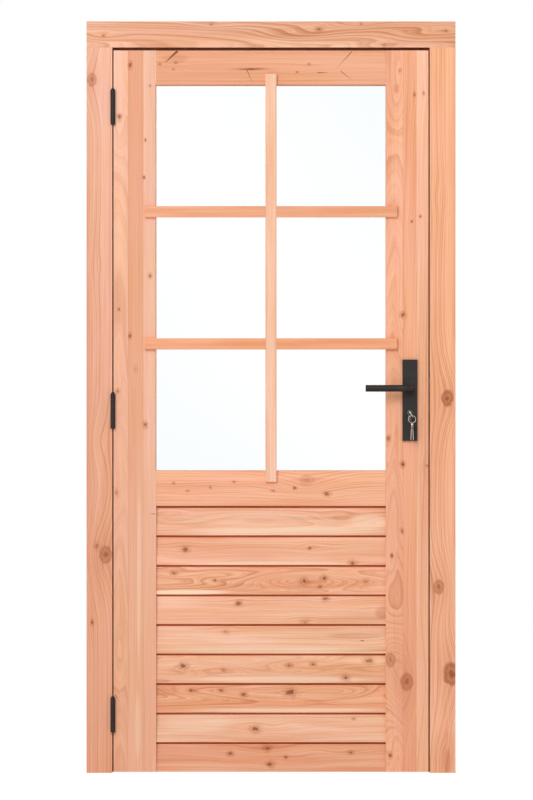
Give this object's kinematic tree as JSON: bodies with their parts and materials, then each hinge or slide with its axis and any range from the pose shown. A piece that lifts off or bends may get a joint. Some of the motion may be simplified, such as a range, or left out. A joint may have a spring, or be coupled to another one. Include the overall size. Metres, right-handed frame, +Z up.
{
  "type": "glazed timber door with frame",
  "caption": "Softwood single door with glazed upper part, planted glazing bars and horizontal weatherboards, hung on black hinges in a three-sided timber frame.",
  "frame": {"origin": "on the floor, midway between the posts and midway through the thickness of the leaf", "axes": "+Z up, +X towards the lock side, -Y towards the outside, the side in the picture"},
  "size_m": [1.09, 0.178, 2.22],
  "materials": {
    "frame_timber": "planed softwood, untreated",
    "leaf_timber": "planed glued softwood, untreated",
    "board_timber": "planed softwood boards, untreated",
    "bar_timber": "planed softwood, untreated",
    "pale_timber": "planed pale softwood, untreated",
    "clear_glass": "clear flat glass",
    "grey_rubber": "grey glazing rubber",
    "brown_rubber": "brown seal rubber",
    "black_metal": "matt black coated metal",
    "plated_steel": "zinc plated steel",
    "nickel": "nickel plated brass",
    "dark_nickel": "blackened nickel plated brass"
  },
  "bodies": {
    "frame": {"hinge_post": "frame_timber", "lock_post": "frame_timber", "head": "frame_timber", "frame_seal": "brown_rubber", "frame_corner_screws": "plated_steel", "strike_plate": "plated_steel", "strike_screws": "plated_steel", "hinge_top_frame_leaf": "black_metal", "hinge_middle_frame_leaf": "black_metal", "hinge_bottom_frame_leaf": "black_metal", "hinge_pins": "black_metal", "frame_hinge_screws": "black_metal"},
    "leaf": {"hinge_stile": "leaf_timber", "lock_stile": "leaf_timber", "top_rail": "leaf_timber", "mid_rail": "leaf_timber", "bottom_rail": "leaf_timber", "board_1": "board_timber", "board_2": "board_timber", "board_3": "board_timber", "board_4": "board_timber", "board_5": "board_timber", "board_6": "board_timber", "board_7": "board_timber", "board_8": "board_timber", "board_9": "board_timber", "glass_pane": "clear_glass", "glazing_gasket": "grey_rubber", "bead_top": "leaf_timber", "bead_bottom": "leaf_timber", "bead_left": "leaf_timber", "bead_right": "leaf_timber", "bar_upright": "pale_timber", "bar_upper": "bar_timber", "bar_lower": "bar_timber", "hinge_top_door_leaf": "black_metal", "hinge_middle_door_leaf": "black_metal", "hinge_bottom_door_leaf": "black_metal", "door_hinge_screws": "black_metal", "outside_plate": "black_metal", "inside_plate": "black_metal", "plate_screws": "black_metal", "lock_case": "plated_steel", "lock_forend": "plated_steel", "forend_screws": "plated_steel", "cylinder_body": "dark_nickel", "cylinder_screw": "plated_steel"},
    "lever": {"outside_lever": "black_metal", "inside_lever": "black_metal", "spindle": "plated_steel", "lock_follower": "plated_steel"},
    "latch": {"latch_bolt": "plated_steel"},
    "deadbolt": {"dead_bolt": "plated_steel"},
    "plug": {"cylinder_plug": "dark_nickel", "cylinder_cam": "plated_steel", "door_key": "nickel", "key_ring": "nickel"},
    "spare": {"spare_keys": "nickel"}
  },
  "joints": [
    {"name": "door_swing", "type": "hinge", "parent": "frame", "child": "leaf", "pos_m": [-0.467, -0.0345, 1.0685], "axis": [0, 0, -1], "range_deg": [0, 170]},
    {"name": "lever_turn", "type": "hinge", "parent": "leaf", "child": "lever", "pos_m": [0.41, 0, 1.136], "axis": [0, -1, 0], "range_deg": [0, 40], "stiffness_Nm_per_rad": 2, "springref_deg": -34.38},
    {"name": "latch_slide", "type": "slide", "parent": "leaf", "child": "latch", "axis": [-1, 0, 0], "range_m": [0, 0.012]},
    {"name": "key_turn", "type": "hinge", "parent": "leaf", "child": "plug", "pos_m": [0.41, 0, 1.064], "axis": [0, 1, 0], "range_deg": [0, 120]},
    {"name": "deadbolt_slide", "type": "slide", "parent": "leaf", "child": "deadbolt", "axis": [1, 0, 0], "range_m": [0, 0.02]},
    {"name": "spare_key_swing", "type": "hinge", "parent": "plug", "child": "spare", "pos_m": [0.41602, -0.0604, 1.0447], "axis": [0, 1, 0], "range_deg": [-120, 0]}
  ],
  "couplings": [
    {"joint": "latch_slide", "follows": "lever_turn", "m_per_rad": 0.01718},
    {"joint": "deadbolt_slide", "follows": "key_turn", "m_per_rad": 0.00954},
    {"joint": "spare_key_swing", "follows": "key_turn", "ratio": -1}
  ]
}
